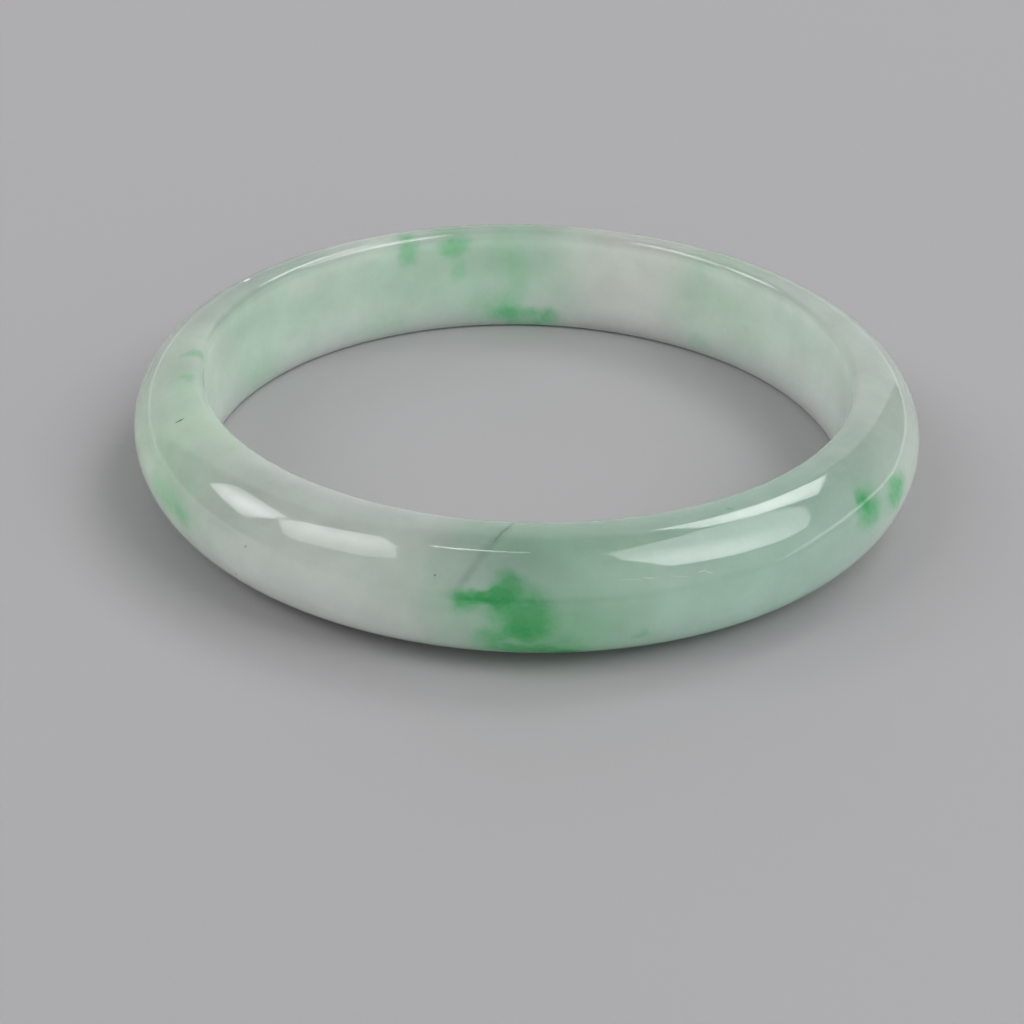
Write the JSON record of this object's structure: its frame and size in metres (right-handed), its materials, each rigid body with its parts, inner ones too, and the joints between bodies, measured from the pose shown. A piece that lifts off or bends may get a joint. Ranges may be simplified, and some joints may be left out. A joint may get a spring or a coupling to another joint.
{
  "type": "bangle bracelet",
  "caption": "One-piece rigid stone ring worn on the wrist, with a straight polished bore and a half-round outside.",
  "frame": {"origin": "on the ring's axis, at the height of the rim it rests on, so the ring stands on the plane z = 0", "axes": "+Z along the ring's axis, up when the bangle lies flat; X and Y are any two directions across it"},
  "size_m": [0.0694, 0.0694, 0.0106],
  "materials": {
    "jade": "polished translucent jadeite, pale grey-green with patches of vivid green and one grey healed crack"
  },
  "bodies": {
    "root": {"bangle": "jade"}
  },
  "joints": []
}
